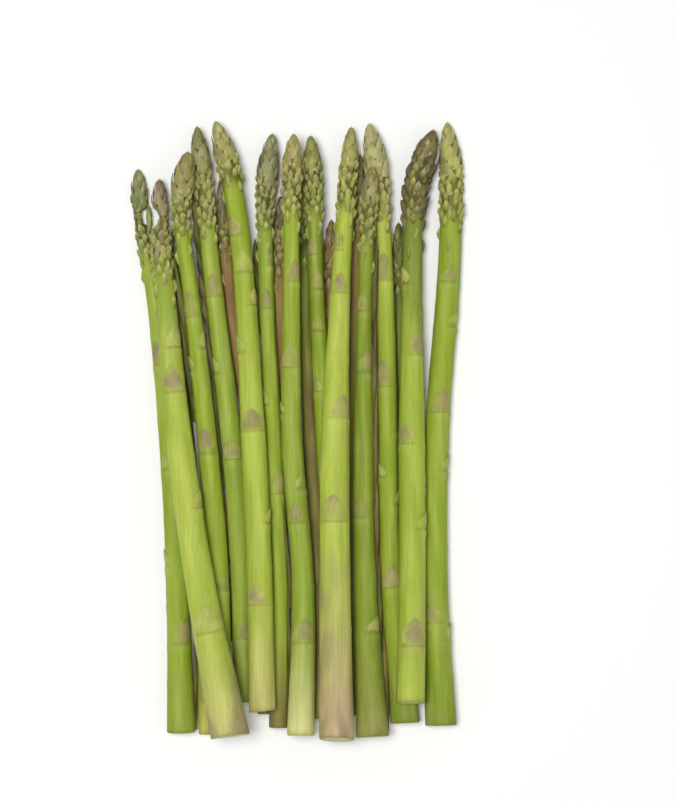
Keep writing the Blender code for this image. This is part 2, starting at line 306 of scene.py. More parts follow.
LOOKS = {
    "spear_under_1": Look(
        GREEN, "yellow_green", "olive", "moss", "moss", "olive", leaves=((14.0, 80, 8),)),
    "spear_under_2": BROWN_LOOK,
    "spear_under_3": BROWN_LOOK,
    "spear_under_4": Look(GREEN, "brown_olive", "brown_olive", "moss", "moss", "moss"),
    "spear_under_5": Look(PURPLE, "olive", "brown_olive", "red_brown", "dark_mauve", "purple_brown"),
    "spear_under_6": Look(
        MAUVE, "brown_olive", "red_brown", "red_brown", "red_brown", "dark_mauve", buds=(12, 30)),
    "spear_under_7": Look(GREEN, "olive", "moss", "moss", "moss", "olive", buds=(12, 30)),
    "spear_01": Look(
        GREEN, "leaf_green", "leaf_green", "soft_green", "grey_green", "mauve",
        buds=(11, 38), slant=(0.0, 0.05), slim=(13.5, 22.5, -1.2, 0.55),
        leaves=((36.0, 60, 9), (65.1, 172, 6), (101.0, 80, 9), (140.0, 120, 9)),
        shoots=((210.0, 210.0, 348, 0.85, 42),)),
    "spear_02": Look(
        GREEN, "straw", "lime", "soft_green", "mauve", "pale_ash",
        buds=(9, 42), slant=(0.03, 0.12), slim=(9.5, 20.0, 1.3, 0.42), blush=0.7,
        leaves=((41.3, 85, 10), (86.3, 20, 6), (129.5, 90, 10), (146.0, 40, 8))),
    "spear_03": Look(
        GREEN, "leaf_green", "leaf_green", "leaf_green", "dull_tan", "tan", buds=(12, 33),
        leaves=((55.8, 60, 6), (107.0, 100, 10), (138.4, 160, 5), (146.0, 30, 6), (158.0, 95, 9)),
        shoots=((74.0, 125.0, 192, 1.25, 36),)),
    "spear_04": Look(
        GREEN, "soft_green", "soft_green", "soft_green", "grey_olive", "dark_purple", buds=(14, 42),
        leaves=((37.9, 80, 6), (104.9, 95, 7), (136.9, 155, 6), (165.5, 90, 8)),
        shoots=((38.0, 76.0, 192, 1.5, 13), (106.0, 200.0, 193, 0.9, 40))),
    "spear_05": Look(
        GREEN, "straw", "lime", "leaf_green", "yellow_tan", "papery",
        buds=(11, 25), slant=(0.1, 0.08), pale=1.2,
        leaves=((51.3, 110, 7), (81.1, 15, 5), (115.3, 90, 8), (144.3, 150, 6), (161.8, 30, 6),
                (174.0, 80, 8), (188.0, 130, 7))),
    "spear_06": Look(
        GREY, "brown_olive", "leaf_green", "soft_green", "ash_green", "pale_ash", buds=(14, 40),
        leaves=((91.9, 60, 9), (125.0, 150, 6), (161.0, 90, 7), (177.0, 40, 6)),
        shoots=((51.0, 80.0, 194, 1.2, 11),)),
    "spear_07": Look(
        GREEN, "cream", "soft_green", "leaf_green", "tan", "papery", buds=(8, 34),
        leaves=((36.8, 80, 9), (81.5, 100, 7), (93.7, 40, 6), (122.0, 165, 4), (139.1, 90, 9),
                (171.0, 60, 8)),
        shoots=((176.0, 212.0, 194, 0.8, 40),)),
    "spear_08": Look(
        GREEN, "olive", "leaf_green", "deep_green", "dull_green", "pale_tan", buds=(8, 34),
        leaves=((130.2, 130, 5), (152.5, 90, 6), (168.0, 70, 7), (181.0, 120, 6))),
    "spear_09": Look(
        GREEN, "pink_beige", "lime", "lime", "dull_yellow", "pale_mauve",
        buds=(9, 36), slant=(-0.03, 0.3), reach=0.36, blush=0.6,
        leaves=((82.2, 95, 9.5), (120.2, 55, 8), (166.3, 95, 7), (182.0, 140, 6))),
    "spear_10": Look(
        GREEN, "dull_green", "deep_green", "deep_green", "dull_tan", "papery",
        buds=(7, 32), slant=(0.03, 0.12),
        leaves=((40.2, 30, 7), (83.3, 110, 7), (136.9, 60, 9), (160.0, 110, 7)),
        shoots=((66.0, 211.0, 346, 1.1, 40),)),
    "spear_11": Look(
        GREEN, "deep_green", "leaf_green", "lime", "pale_yellow", "ivory", buds=(14, 40),
        leaves=((56.9, 80, 8), (87.4, 20, 5), (98.2, 150, 5), (132.0, 110, 9.5), (171.5, 90, 10)),
        pale=1.3),
    "spear_12": Look(
        PURPLE, "lime", "fresh_green", "dark_green", "purple_brown", "purple_brown",
        buds=(5, 40), slant=(0.0, 0.12),
        leaves=((36.0, 80, 10), (78.9, 25, 6), (110.5, 140, 8), (143.6, 60, 8), (170.0, 152, 6)),
        loose=((17.0, 5, 9, 1.2), (31.0, 10, 7, 0.6)),
        turns=0.4, mottle=0.7, pale=0.85, sides=0.75),
    "spear_13": Look(
        GREEN, "deep_green", "leaf_green", "leaf_green", "yellow_tan", "papery", buds=(14, 42),
        leaves=((37.2, 10, 8), (44.0, 110, 7), (100.4, 10, 8), (122.4, 70, 8), (154.4, 20, 7),
                (171.0, 90, 6))),
}


def through_stops(stops, values, at):
    """The smooth curve through values at stops, read at one place: a cubic with averaged slopes."""
    last = len(stops) - 1
    slopes = []
    for i in range(last + 1):
        before, after = max(i - 1, 0), min(i + 1, last)
        slopes.append((values[after] - values[before]) / (stops[after] - stops[before]))
    i = next(k for k in range(last) if at <= stops[k + 1] or k == last - 1)
    width = stops[i + 1] - stops[i]
    t = (at - stops[i]) / width
    return (
        (2 * t**3 - 3 * t**2 + 1) * values[i]
        + (t**3 - 2 * t**2 + t) * width * slopes[i]
        + (3 * t**2 - 2 * t**3) * values[i + 1]
        + (t**3 - t**2) * width * slopes[i + 1]
    )


def smooth(value):
    """0 to 1, easing in and out."""
    value = min(max(value, 0.0), 1.0)
    return value * value * (3.0 - 2.0 * value)


def mix(first, second, share):
    return first + (second - first) * share


def hump(value, spread):
    """1 at 0, falling to nearly 0 at two spreads to either side."""
    return math.exp(-((value / spread) ** 2))


def length_of(spear):
    return spear.tip_y - spear.base_y


def centre_x(spear, y):
    share = (y - spear.base_y) / length_of(spear)
    return through_stops(PATH_STOPS, spear.x, min(max(share, 0.0), 1.0))


def stem_radius(spear, below_tip):
    """Radius of the bare stem, this far below the tip: wide at the cut, narrow at the neck."""
    base, middle, neck = spear.girth
    share = 1.0 - below_tip / length_of(spear)
    if share < FOOT_SHARE:
        return middle + (base - middle) * (1.0 - share / FOOT_SHARE) ** FOOT_CURVE
    return mix(middle, neck, smooth((share - FOOT_SHARE) / NECK_SHARE))


def head_outline(spear, below_tip):
    """Radius of the closed head outside its bracts: a long pointed bud that narrows to the neck."""
    radius, length = spear.head
    share = max(below_tip, 0.0) / length
    if share < HEAD_FULL:
        swell = (1.0 - (1.0 - share / HEAD_FULL) ** 2) ** TIP_BLUNT
        return mix(TIP_RADIUS, radius, swell)
    neck = stem_radius(spear, below_tip) + NECK_RISE
    return mix(radius, neck, smooth((share - HEAD_FULL) / (HEAD_END - HEAD_FULL)))


def turned_out(side, above, angle):
    return side * math.cos(angle) + above * math.sin(angle)


class Axis:
    """A spear's centre line, with the directions beside and above it, as its solid lies."""

    STEP = 0.5
    BEYOND = 2.0
    PROBED = (0.03, 0.97)  # shares of the length between which the solid is probed
    PROBES = 48

    def __init__(self, spear, look, node):
        self.spear, self.look = spear, look
        rise = self.heights(node)
        self.span = np.arange(-self.BEYOND, length_of(spear) + self.BEYOND, self.STEP)
        middle = []
        for y in spear.tip_y - self.span:
            x = centre_x(spear, y) - BUNDLE_MIDDLE[0] + look.slim[2] * self.slimness(spear.tip_y - y)
            middle.append((x, y - BUNDLE_MIDDLE[1], np.polyval(rise, y)))
        self.middle = np.array(middle)
        along = -np.gradient(self.middle, axis=0)
        along /= np.linalg.norm(along, axis=1, keepdims=True)
        self.side = np.cross(along, (0.0, 0.0, 1.0))
        self.side /= np.linalg.norm(self.side, axis=1, keepdims=True)
        self.above = np.cross(self.side, along)

    def heights(self, node):
        """The height of the centre line, as a quadratic in y, from the solid's top and underside."""
        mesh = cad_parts[node].data
        tree = BVHTree.FromPolygons([v.co for v in mesh.vertices], [p.vertices for p in mesh.polygons])
        down, up = Vector((0.0, 0.0, -1.0)), Vector((0.0, 0.0, 1.0))
        ys, zs = [], []
        for share in np.linspace(*self.PROBED, self.PROBES):
            y = self.spear.base_y + length_of(self.spear) * share
            x = (centre_x(self.spear, y) - BUNDLE_MIDDLE[0]) * MM
            row_y = (y - BUNDLE_MIDDLE[1]) * MM
            top = tree.ray_cast(Vector((x, row_y, 1.0)), down)[0]
            bottom = tree.ray_cast(Vector((x, row_y, -1.0)), up)[0]
            if top and bottom:
                ys.append(y)
                zs.append((top.z + bottom.z) / 2 / MM)
        return np.polyfit(ys, zs, 2)

    def slimness(self, below_tip):
        """0 to 1: how much of the spear's slim stretch is felt here."""
        start, end = self.look.slim[:2]
        if not start < below_tip < end:
            return 0.0
        return math.sin(math.pi * (below_tip - start) / (end - start)) ** SLIM_CURVE

    def crowding(self, below_tip):
        """1 over the closed head, falling to 0 down the neck, where the side buds end."""
        start, end = self.look.buds
        return min(max((end + NECK_FADE - below_tip) / (end + NECK_FADE - start), 0.0), 1.0)

    def slimmed(self, on_stem, in_head, below_tip):
        """The radius between those of the stem and of the head, less what a slim stretch loses."""
        radius = mix(on_stem, in_head, self.crowding(below_tip))
        return radius * (1.0 - self.look.slim[3] * self.slimness(below_tip))

    def core(self, below_tip):
        """Radius of the body that the leaves and bracts grow from."""
        filled = mix(TIP_CORE, HEAD_CORE, smooth(below_tip / TIP_REACH))
        in_head = head_outline(self.spear, below_tip) * filled
        return self.slimmed(stem_radius(self.spear, below_tip), in_head, below_tip)

    def outline(self, below_tip):
        """Radius over the tops of the bracts and buds."""
        on_stem = stem_radius(self.spear, below_tip) + STEM_RISE
        return self.slimmed(on_stem, head_outline(self.spear, below_tip), below_tip)

    def at(self, below_tip):
        """(centre, side, above) this far below the tip."""
        place = (below_tip - self.span[0]) / self.STEP
        low = int(min(max(place, 0), len(self.span) - 2))
        share = place - low
        return tuple(mix(row[low], row[low + 1], share) for row in (self.middle, self.side, self.above))

    def around(self, below_tip, angle):
        """(centre, outwards, across) this far below the tip, and turned this far from the side."""
        centre, side, above = self.at(below_tip)
        return centre, turned_out(side, above, angle), turned_out(above, -side, angle)


def placed(name, data):
    """A new object of the scene."""
    made = bpy.data.objects.new(name, data)
    bpy.context.scene.collection.objects.link(made)
    return made


class Skin:
    """Points with a colour each, and faces with a material each, to be made into one mesh."""

    def __init__(self):
        self.points, self.colours, self.faces, self.kinds = [], [], [], []

    def add(self, point, colour):
        self.points.append(point)
        self.colours.append(colour)
        return len(self.points) - 1

    def quad_rows(self, rows, kind, closed=False):
        """Faces between neighbouring rows of points, which all have as many."""
        for low, high in zip(rows, rows[1:]):
            count = len(low)
            for k in range(count if closed else count - 1):
                j = (k + 1) % count
                self.faces.append((low[k], low[j], high[j], high[k]))
                self.kinds.append(kind)

    def fan(self, ring, middle, kind):
        """Faces from each side of a ring to the point in its middle."""
        for k in range(len(ring)):
            self.faces.append((ring[k], ring[(k + 1) % len(ring)], middle))
            self.kinds.append(kind)

    def object(self, name, materials):
        """The piece. Nothing of it is under the surface: what would be is pressed flat."""
        points = np.array(self.points)
        points[:, 2] = np.maximum(points[:, 2], LOWEST)
        mesh = bpy.data.meshes.new(name)
        mesh.from_pydata((points * MM).tolist(), [], self.faces)
        colours = np.ones((len(points), 4), np.float32)
        colours[:, :3] = np.clip(self.colours, 0.0, 1.0)
        skin = mesh.attributes.new("skin", "FLOAT_COLOR", "POINT")
        skin.data.foreach_set("color", colours.ravel())
        for material in materials:
            mesh.materials.append(material)
        mesh.polygons.foreach_set("material_index", self.kinds)
        mesh.update()
        mesh.shade_smooth()
        mesh.set_sharp_from_angle(angle=SHARP_ANGLE)
        return placed(name, mesh)


STEM, LEAF, CUT = range(3)  # the order of a piece's materials


class Leaf(NamedTuple):
    """A scale leaf or a bract: where it grows, its size, and how far its parts stand off the spear."""

    foot: float
    angle: float
    length: float
    half_width: float
    stand: tuple  # at the foot, the belly and the tip
    edge: float  # how much lower its edges are than its keel
    thick: float
    colour: np.ndarray
    rim: np.ndarray
    point: np.ndarray
    cells: tuple = BRACT_CELLS
    fade: float = 0.5  # share of its half width over which the rim's colour comes in


def leaf_width(v):
    """Share of a leaf's half width from its foot (0) to its point (1)."""
    if v < LEAF_WIDEST:
        return mix(LEAF_FOOT, 1.0, smooth(v / LEAF_WIDEST))
    narrowed = max(1.0 - ((v - LEAF_WIDEST) / (1.0 - LEAF_WIDEST)) ** 1.45, 0.0) ** 0.95
    return mix(LEAF_POINT, 1.0, narrowed)


def leaf_shade(leaf, u, v):
    """A leaf's colour, u from -1 to 1 across it and v from 0 to 1 along it."""
    blotch = noise.noise(Vector((leaf.foot, leaf.angle + u * 1.5, v * 2.5)))
    shade = mix(leaf.colour, leaf.rim, smooth((abs(u) - 1.0 + leaf.fade + 0.4 * blotch) / leaf.fade))
    shade = mix(shade, leaf.point, smooth((v - 0.5 + 0.3 * blotch) / 0.5))
    return mix(shade, leaf.rim, 0.5 * smooth((0.16 - v) / 0.16)) * (1.0 + 0.15 * blotch)


def border(rows):
    """The points round the edge of a grid, one after the other."""
    edge = rows[0] + [row[-1] for row in rows[1:]] + rows[-1][-2::-1]
    return edge + [row[0] for row in rows[-2:0:-1]]


def add_leaf(skin, axis, leaf, surface):
    """A thin closed shell that curves round the spear over the surface's radius."""
    foot_stand, belly_stand, tip_stand = leaf.stand
    cells_across, cells_along = leaf.cells
    outer, inner = [], []
    for j in range(cells_along + 1):
        v = j / cells_along
        below_tip = leaf.foot - leaf.length * v
        base = surface(below_tip)
        lift = (1 - v) ** 2 * foot_stand + 2 * v * (1 - v) * belly_stand + v * v * tip_stand
        swing = min(leaf.half_width * leaf_width(v) / max(base + lift, 0.6), 1.9)
        centre, side, above = axis.at(below_tip)
        outer.append([])
        inner.append([])
        for i in range(cells_across + 1):
            u = 2.0 * i / cells_across - 1.0
            radius = max(base + lift - leaf.edge * u * u * (0.4 + 0.6 * math.sin(math.pi * v)), 0.15)
            under = max(radius - leaf.thick * (1.0 - 0.5 * abs(u)), 0.1)
            shade = leaf_shade(leaf, u, v)
            out = turned_out(side, above, leaf.angle + u * swing)
            outer[-1].append(skin.add(centre + out * radius, shade))
            # the inner face is painted darker: painted shade under the leaf
            inner[-1].append(skin.add(centre + out * under, shade * 0.8))
    skin.quad_rows([row[::-1] for row in outer], LEAF)
    skin.quad_rows(inner, LEAF)
    skin.quad_rows([border(outer), border(inner)], LEAF, closed=True)


class Bud(NamedTuple):
    """A small pointed side bud that lies against the spear."""

    foot: float
    angle: float
    length: float
    girth: float
    stand: tuple  # of its centre line off the axis: at its foot, and at its point
    bow: float
    # at its foot; side buds and shoots bring painted shade into it
    colour: np.ndarray
    point: np.ndarray


def add_bud(skin, axis, bud):
    rings = []
    twist = bud.angle * 3.0
    for j in range(BUD_RINGS):
        v = j / (BUD_RINGS - 1)
        girth = bud.girth * max(math.sin(math.pi * (0.16 + 0.84 * v) ** 0.9), 0.05) ** 0.75
        off = mix(*bud.stand, v) + bud.bow * math.sin(math.pi * v)
        centre, out, across = axis.around(bud.foot - bud.length * v, bud.angle)
        ring = []
        for k in range(BUD_SIDES):
            angle = FULL_TURN * k / BUD_SIDES
            ridge = 1.0 + BUD_RIDGE * math.cos(3.0 * angle + 9.0 * v + twist)
            place = centre + out * (off + girth * ridge * math.cos(angle))
            place = place + across * girth * ridge * math.sin(angle)
            # painted shade: the grooves between the ridges darker, the ridge tops lighter
            shade = mix(bud.colour, bud.point, smooth(v * 1.2 - 0.2)) * (0.82 + 0.18 * ridge)
            ring.append(skin.add(place, shade))
        rings.append(ring)
    skin.quad_rows(rings, LEAF, closed=True)
    centre, out, _ = axis.around(bud.foot, bud.angle)
    skin.fan(rings[0][::-1], skin.add(centre + out * bud.stand[0], bud.colour), LEAF)
    centre, out, _ = axis.around(bud.foot - bud.length - bud.girth * 0.3, bud.angle)
    skin.fan(rings[-1], skin.add(centre + out * bud.stand[1], bud.point), LEAF)


class Patches(NamedTuple):
    """Smooth patches over a stem."""

    around: float  # how fine round the stem
    along: float  # how fine along it
    shift: tuple  # how the stem's seed moves them


LUMPS = Patches(1.3, 0.035, (1.0, 0.0, 0.0))
BLOTCHES = Patches(2.0, 0.05, (0.0, 1.0, 0.0))
BROAD_PATCHES = Patches(0.8, 0.03, (-1.0, 0.0, 1.0))
BLUSHES = Patches(1.2, 0.07, (1.0, 0.0, 0.0))


class Stem:
    """The stem and the core of the head: a ribbed tube, a little swollen where each leaf grows."""

    def __init__(self, axis, leaves, seed):
        self.axis, self.look, self.leaves, self.seed = axis, axis.look, leaves, seed
        self.length = length_of(axis.spear)

    def spans(self):
        """How far below the tip each ring is, from the cut end upwards."""
        steps = math.ceil(self.length / RING_STEP)
        spans = [self.length - self.length * k / steps for k in range(steps)]
        spans += [self.length - FIRST_RING, LAST_RING]
        for leaf in self.leaves:
            spans += [leaf.foot + below for below in LEAF_RINGS]
        return sorted({round(span, 2) for span in spans}, reverse=True)

    def marks(self, below_tip, angle, core):
        """How swollen, how pale and how creased the leaves make the stem at one place."""
        swell, flush, crease = 0.0, 0.0, 0.0
        for leaf in self.leaves:
            below_foot = below_tip - leaf.foot
            if abs(below_foot - SWELL_BELOW) >= MARKS_END * SWELL_SPREAD:
                continue
            turned = math.remainder(angle - leaf.angle, FULL_TURN)
            here = hump(below_foot - SWELL_BELOW, SWELL_SPREAD)
            swell += here * (SWELL_ROUND + SWELL_UNDER * hump(turned, SWELL_TURN))
            flush += here * hump(turned, FLUSH_TURN)
            line = hump(below_foot - CREASE_BELOW - CREASE_BOW * turned * turned, CREASE_SPREAD)
            crease += line * math.exp(-((turned * core / leaf.half_width) ** 6))
        return swell, min(flush, 1.0), min(crease, 1.0)

    def patchy(self, kind, cos, sin, below_tip):
        """-1 to 1: how much of a patch of this kind is at one place."""
        x, y, z = (self.seed * share for share in kind.shift)
        place = (cos * kind.around + x, sin * kind.around + y, below_tip * kind.along + z)
        return noise.noise(Vector(place))

    def radius(self, below_tip, angle, core, swell, crease):
        cos, sin = math.cos(angle), math.sin(angle)
        in_head = self.axis.crowding(below_tip)
        uneven = LUMP_HEIGHT * self.patchy(LUMPS, cos, sin, below_tip)
        for count, height, turn in RIBS:
            uneven += height * math.cos(count * angle + turn * self.seed)
        radius = core * (1.0 + OVAL * math.cos(2.0 * angle + self.seed)) + swell * (1.0 - in_head)
        return radius + uneven * (1.0 - CALM_HEAD * in_head) - CREASE_DEPTH * crease

    def own_colour(self, share, in_head):
        """The skin's colour along the stem, from the cut end to the core of the head, which is painted
        nearly black as the shade between its bracts and buds.
        """
        look = self.look
        colour = mix(COLOURS[look.foot], COLOURS[look.stem], smooth(share / look.reach) ** 0.8)
        colour = mix(colour, COLOURS[look.neck], smooth((share - 0.55) / 0.25))
        # painted shade: the core darkens where the bracts and buds crowd over it
        return mix(colour, COLOURS["painted_pit_shade"], 0.9 * smooth(in_head * 3.0 - 0.5))

    def colour(self, below_tip, angle, flush, crease):
        """The stem's colour: its own with pale blotches, greener patches, a blush and brown at the cut,
        and painted shade in the creases and over the head's core.
        """
        look = self.look
        above_cut = self.length - below_tip
        share = above_cut / self.length
        in_head = self.axis.crowding(below_tip)
        place = (math.cos(angle), math.sin(angle), below_tip)
        blotch = self.patchy(BLOTCHES, *place)
        green = GREEN_PATCHES * max(-self.patchy(BROAD_PATCHES, *place), 0.0) * (1.0 - in_head)
        low_down = smooth((look.reach * 1.4 - share) / look.reach)
        blushing = look.blush * low_down * smooth(self.patchy(BLUSHES, *place) * 2.0 + 0.1)
        colour = self.own_colour(share, in_head)
        colour = mix(colour, COLOURS["papery"], PALE_BLOTCHES * max(blotch, 0.0) + PALE_OVER_LEAF * flush)
        colour = mix(colour, COLOURS["deep_green"], green)
        colour = mix(colour, COLOURS["mauve"], blushing)
        # painted shade: moss green darkens the crease under each leaf's foot
        colour = mix(colour, COLOURS["moss"], PAINTED_CREASE_SHADE * crease)
        colour = mix(colour, COLOURS["brown_olive"], BROWN_CUT * math.exp(-above_cut / 0.9))
        colour = mix(colour, COLOURS[look.head] * 0.8, smooth(1.5 - below_tip / 8.0))
        return colour * (1.0 + BLOTCH_CONTRAST * blotch)

    def add_ring(self, skin, below_tip, at_cut):
        core = self.axis.core(below_tip) - (CUT_BEVEL if at_cut else 0.0)
        along = self.axis.at(below_tip - 0.5)[0] - self.axis.at(below_tip + 0.5)[0]
        sheared = max(1.0 - (self.length - below_tip) / SLANT_REACH, 0.0)
        centre, side, above = self.axis.at(below_tip)
        across_slant, up_slant = self.look.slant
        ring = []
        for k in range(STEM_SIDES):
            angle = FULL_TURN * k / STEM_SIDES
            swell, flush, crease = self.marks(below_tip, angle, core)
            radius = self.radius(below_tip, angle, core, swell, crease)
            slant = across_slant * (math.cos(angle) + 1.0) + up_slant * (math.sin(angle) + 1.0)
            out = turned_out(side, above, angle)
            place = centre + out * radius + along * slant * radius * sheared
            ring.append(skin.add(place, self.colour(below_tip, angle, flush, crease)))
        return ring

    def add_to(self, skin):
        rings = [self.add_ring(skin, span, n == 0) for n, span in enumerate(self.spans())]
        skin.quad_rows(rings, STEM, closed=True)
        skin.fan(rings[-1], skin.add(self.axis.at(0.0)[0], COLOURS[self.look.tip]), STEM)
        self.add_cut(skin, rings[0])

    def add_cut(self, skin, rim):
        """The trimmed end: rings inside the rim, a little hollow and rough, pale in the middle."""
        centre = np.mean([skin.points[k] for k in rim], axis=0)
        along = self.axis.at(self.length - 1.0)[0] - self.axis.at(self.length)[0]
        edge = mix(COLOURS[self.look.foot], COLOURS["moss"], 0.35)
        rings = [rim]
        for share in CUT_RINGS:
            ring = []
            for index in rim:
                spot = centre + (skin.points[index] - centre) * share
                rough = noise.noise(Vector((spot[0] * 0.9 + self.seed, spot[2] * 0.9, share * 2.0)))
                spot = spot + along * (CUT_HOLLOW * (1.0 - share) + CUT_ROUGHNESS * rough)
                colour = mix(COLOURS["cream"], edge, smooth((share - 0.7) / 0.25))
                ring.append(skin.add(spot, colour * (1.0 + 0.2 * rough)))
            rings.append(ring)
        skin.quad_rows([ring[::-1] for ring in rings], CUT, closed=True)
        skin.fan(rings[-1][::-1], skin.add(centre + along * CUT_MIDDLE, COLOURS["cream"]), CUT)


def leaf_places(spear, look, draw):
    """(foot, angle, length, shown) of the stem's leaves: those seen, and others on the far side."""
    places = [(spear.tip_y - y, math.radians(turn), long, True) for y, turn, long in look.leaves]
    feet = sorted(place[0] for place in places)
    top, bottom = look.buds[1] + BARE_NECK, length_of(spear) - BARE_FOOT
    stops = [top] + [foot for foot in feet if top < foot < bottom] + [bottom]
    for low, high in zip(stops, stops[1:]):
        if high - low > LEAF_GAP:
            turn = math.radians(-90.0 + draw.uniform(-70.0, 70.0))
            places.append(((low + high) / 2, turn, draw.uniform(7.0, 9.5), False))
    return sorted(places)


def stem_leaves(spear, look, draw):
    """The pressed leaves of the stem, wider and longer over its top than at its sides."""
    leaves = []
    stem = COLOURS[look.stem]
    for foot, angle, long, shown in leaf_places(spear, look, draw):
        at_side = abs(math.cos(angle)) > 0.8
        pale = mix(COLOURS["papery"], COLOURS["lime"], draw.uniform(0.1, 0.8))
        middle = mix(COLOURS["mauve"], COLOURS["tan"], draw.uniform(0.0, 0.6)) * draw.uniform(0.9, 1.25)
        middle = mix(middle, stem, draw.uniform(0.0, 0.7))
        spread = stem_radius(spear, foot) * mix(0.75, 1.3, smooth((long - 4.0) / 5.0))
        spread *= draw.uniform(0.95, 1.08)
        if at_side:
            middle = mix(middle, pale, 0.5)
            long = min(long, 6.0)
        stand = (0.06, 0.55 if shown else 0.3, 0.5 if at_side and shown else 0.16)
        rim = mix(pale, stem, draw.uniform(0.4, 0.9))
        point = mix(COLOURS["mauve"], stem, draw.uniform(0.2, 0.9))
        leaves.append(
            Leaf(foot, angle, long, min(spread, long * 0.9), stand, edge=0.3, thick=0.25,
                 colour=middle, rim=rim, point=point, cells=LEAF_CELLS, fade=draw.uniform(0.6, 1.0))
        )
    return leaves


def varied(colour, mottle, draw):
    """The colour, darker by up to this share or lighter by a little more."""
    return colour * draw.uniform(1.0 - mottle, 1.0 + 1.35 * mottle)


def shaded_at_sides(colour, angle, look):
    """A colour of the head, turned dark purple towards its two sides as seen from above: painted shade at
    its edges.
    """
    return mix(colour, COLOURS["dark_purple"], look.sides * smooth((abs(math.cos(angle)) - 0.35) / 0.5))


def paled(colour, share, angle, look):
    """A colour of the head, dry and pale as at an edge or a point, with the painted shade at its sides.
    """
    return shaded_at_sides(mix(colour, COLOURS["papery"], share * look.pale), angle, look)


def add_closed_tip(skin, axis, draw):
    """Long narrow bracts, packed in one spiral and pressed to the head, that end in its point."""
    spear, look = axis.spear, axis.look
    widest = spear.head[0] * BRACT_WIDEST
    closed = look.buds[0]
    count = math.ceil(closed / BRACT_STEP)
    for k in range(count):
        share = k / (count - 1)
        point = closed * share**1.2 - 0.8 * (1.0 - share) ** 12
        long = mix(*BRACT_LENGTH, smooth(share * 1.2)) * draw.uniform(0.92, 1.1)
        shade = mix(COLOURS[look.tip], COLOURS[look.head], smooth(share * 2.0))
        shade = varied(mix(shade, COLOURS["mauve"], draw.uniform(0.0, 0.2)), look.mottle, draw)
        half_width = mix(BRACT_NARROWEST, widest, smooth(share * 1.5)) * draw.uniform(0.85, 1.1)
        angle = math.radians(spear.turn) + GOLDEN_TURN * k + draw.uniform(-0.15, 0.15)
        shade = shaded_at_sides(shade, angle, look) * TIP_SHADE
        stand = (-0.9, 0.05 + 0.25 * share, mix(-0.3, 0.15, smooth(share * 5.0)))
        rim = mix(shade, COLOURS["ivory"], draw.uniform(0.1, 0.5) * look.pale)
        dark = draw.uniform(0.1, 0.75) * smooth(share * 2.5)
        bract = Leaf(point + long, angle, long, half_width, stand, mix(*BRACT_EDGE, share),
                     mix(*BRACT_THICK, share), shade, rim, mix(shade, COLOURS["dark_mauve"], dark))
        add_leaf(skin, axis, bract, axis.outline)
    return count


def add_side_buds(skin, axis, first, draw):
    """Below the closed tip side buds bulge out of the bracts: packed at first, then here and there."""
    spear, look = axis.spear, axis.look
    start, end = look.buds
    last = end + LAST_BUDS
    foot, k = start + 3.0, first
    while foot < last:
        spaced = smooth((foot - end + 6.0) / 12.0)
        share = (foot - start) / (last - start)
        angle = math.radians(spear.turn) + GOLDEN_TURN * k + draw.uniform(-0.25, 0.25)
        long = mix(*BUD_LENGTH, share) * draw.uniform(0.85, 1.2)
        girth = mix(*BUD_GIRTH, spaced) * draw.uniform(0.85, 1.15)
        core, top = axis.core(foot - long * 0.5), axis.outline(foot - long * 0.5)
        turned = smooth((share - look.turns) / 0.7 + draw.uniform(-0.15, 0.15))
        ground = mix(COLOURS[look.head], COLOURS[look.neck], turned) * BUD_SHADE
        fresh = draw.uniform(0.0, 0.45) * look.pale
        green = varied(mix(ground, COLOURS["yellow_green"], fresh), look.mottle, draw)
        shade = varied(mix(ground, COLOURS["mauve"], draw.uniform(0.0, 0.5)), look.mottle, draw)
        out = top - girth + draw.uniform(-0.1, 0.25)
        # Painted shade: each bud darkens towards its foot, and the small bract over it is darker in its
        # middle.
        add_bud(
            skin, axis,
            Bud(foot, angle, long, girth, (out - 0.8, out), 0.25,
                shaded_at_sides(mix(green, COLOURS["painted_pit_shade"], 0.5), angle, look),
                paled(green, draw.uniform(0.2, 0.95), angle, look)),
        )
        if draw.random() < mix(SMALL_BRACTS, 1.0, spaced):
            lift = top - core
            add_leaf(
                skin, axis,
                Leaf(foot + 0.9, angle, long * draw.uniform(0.8, 1.05), min(girth * 1.35, core * 1.1),
                     (-0.2, mix(1.7 * lift, 1.5 * lift, spaced), lift), girth * 0.7, 0.2,
                     shaded_at_sides(mix(shade, COLOURS["painted_pit_shade"], 0.2), angle, look),
                     paled(shade, draw.uniform(0.1, 0.9), angle, look),
                     paled(shade, draw.uniform(0.1, 0.8), angle, look), SMALL_CELLS),
                axis.core,
            )
        foot += mix(BUD_STEP * USUAL_NECK / top, BUDS_APART, spaced) * draw.uniform(0.8, 1.2)
        k += 1


def add_loose_bracts(skin, axis):
    """The few bracts of a head that stand well out from it."""
    dark = COLOURS["dark_purple"]
    for foot, turn, long, out in axis.look.loose:
        bract = Leaf(foot, math.radians(turn), long, half_width=2.4, stand=(-0.3, 0.7 * out, out),
                     edge=0.3, thick=0.3, colour=dark, rim=mix(dark, COLOURS["mauve"], 0.4),
                     point=dark * 0.8, cells=LEAF_CELLS)
        add_leaf(skin, axis, bract, axis.outline)


